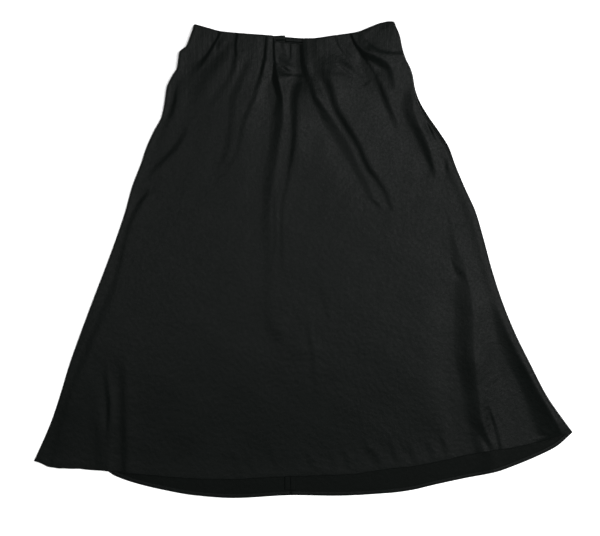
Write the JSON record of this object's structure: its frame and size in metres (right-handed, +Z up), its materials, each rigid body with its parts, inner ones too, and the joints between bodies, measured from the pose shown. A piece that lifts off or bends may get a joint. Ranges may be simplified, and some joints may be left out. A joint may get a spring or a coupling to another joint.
{
  "type": "midi skirt",
  "caption": "A-line midi skirt cut on the bias, with a gathered elastic waist, laid flat on its back with its soft folds fanning out from the waist.",
  "frame": {"origin": "middle of the skirt's outline, on the surface it lies on", "axes": "+Z up from that surface, +Y from the hem to the waist, +X across the skirt, to the right as seen from above"},
  "size_m": [0.9426, 0.8345, 0.0167],
  "materials": {
    "crepe_satin": "black crepe satin with a soft, low lustre",
    "waist_casing": "the inside of the same cloth, over a gathered elastic"
  },
  "bodies": {
    "root": {"front_panel": "crepe_satin", "back_panel_left": "crepe_satin", "back_panel_right": "crepe_satin", "front_casing": "waist_casing", "back_casing_left": "waist_casing", "back_casing_right": "waist_casing"}
  },
  "joints": []
}
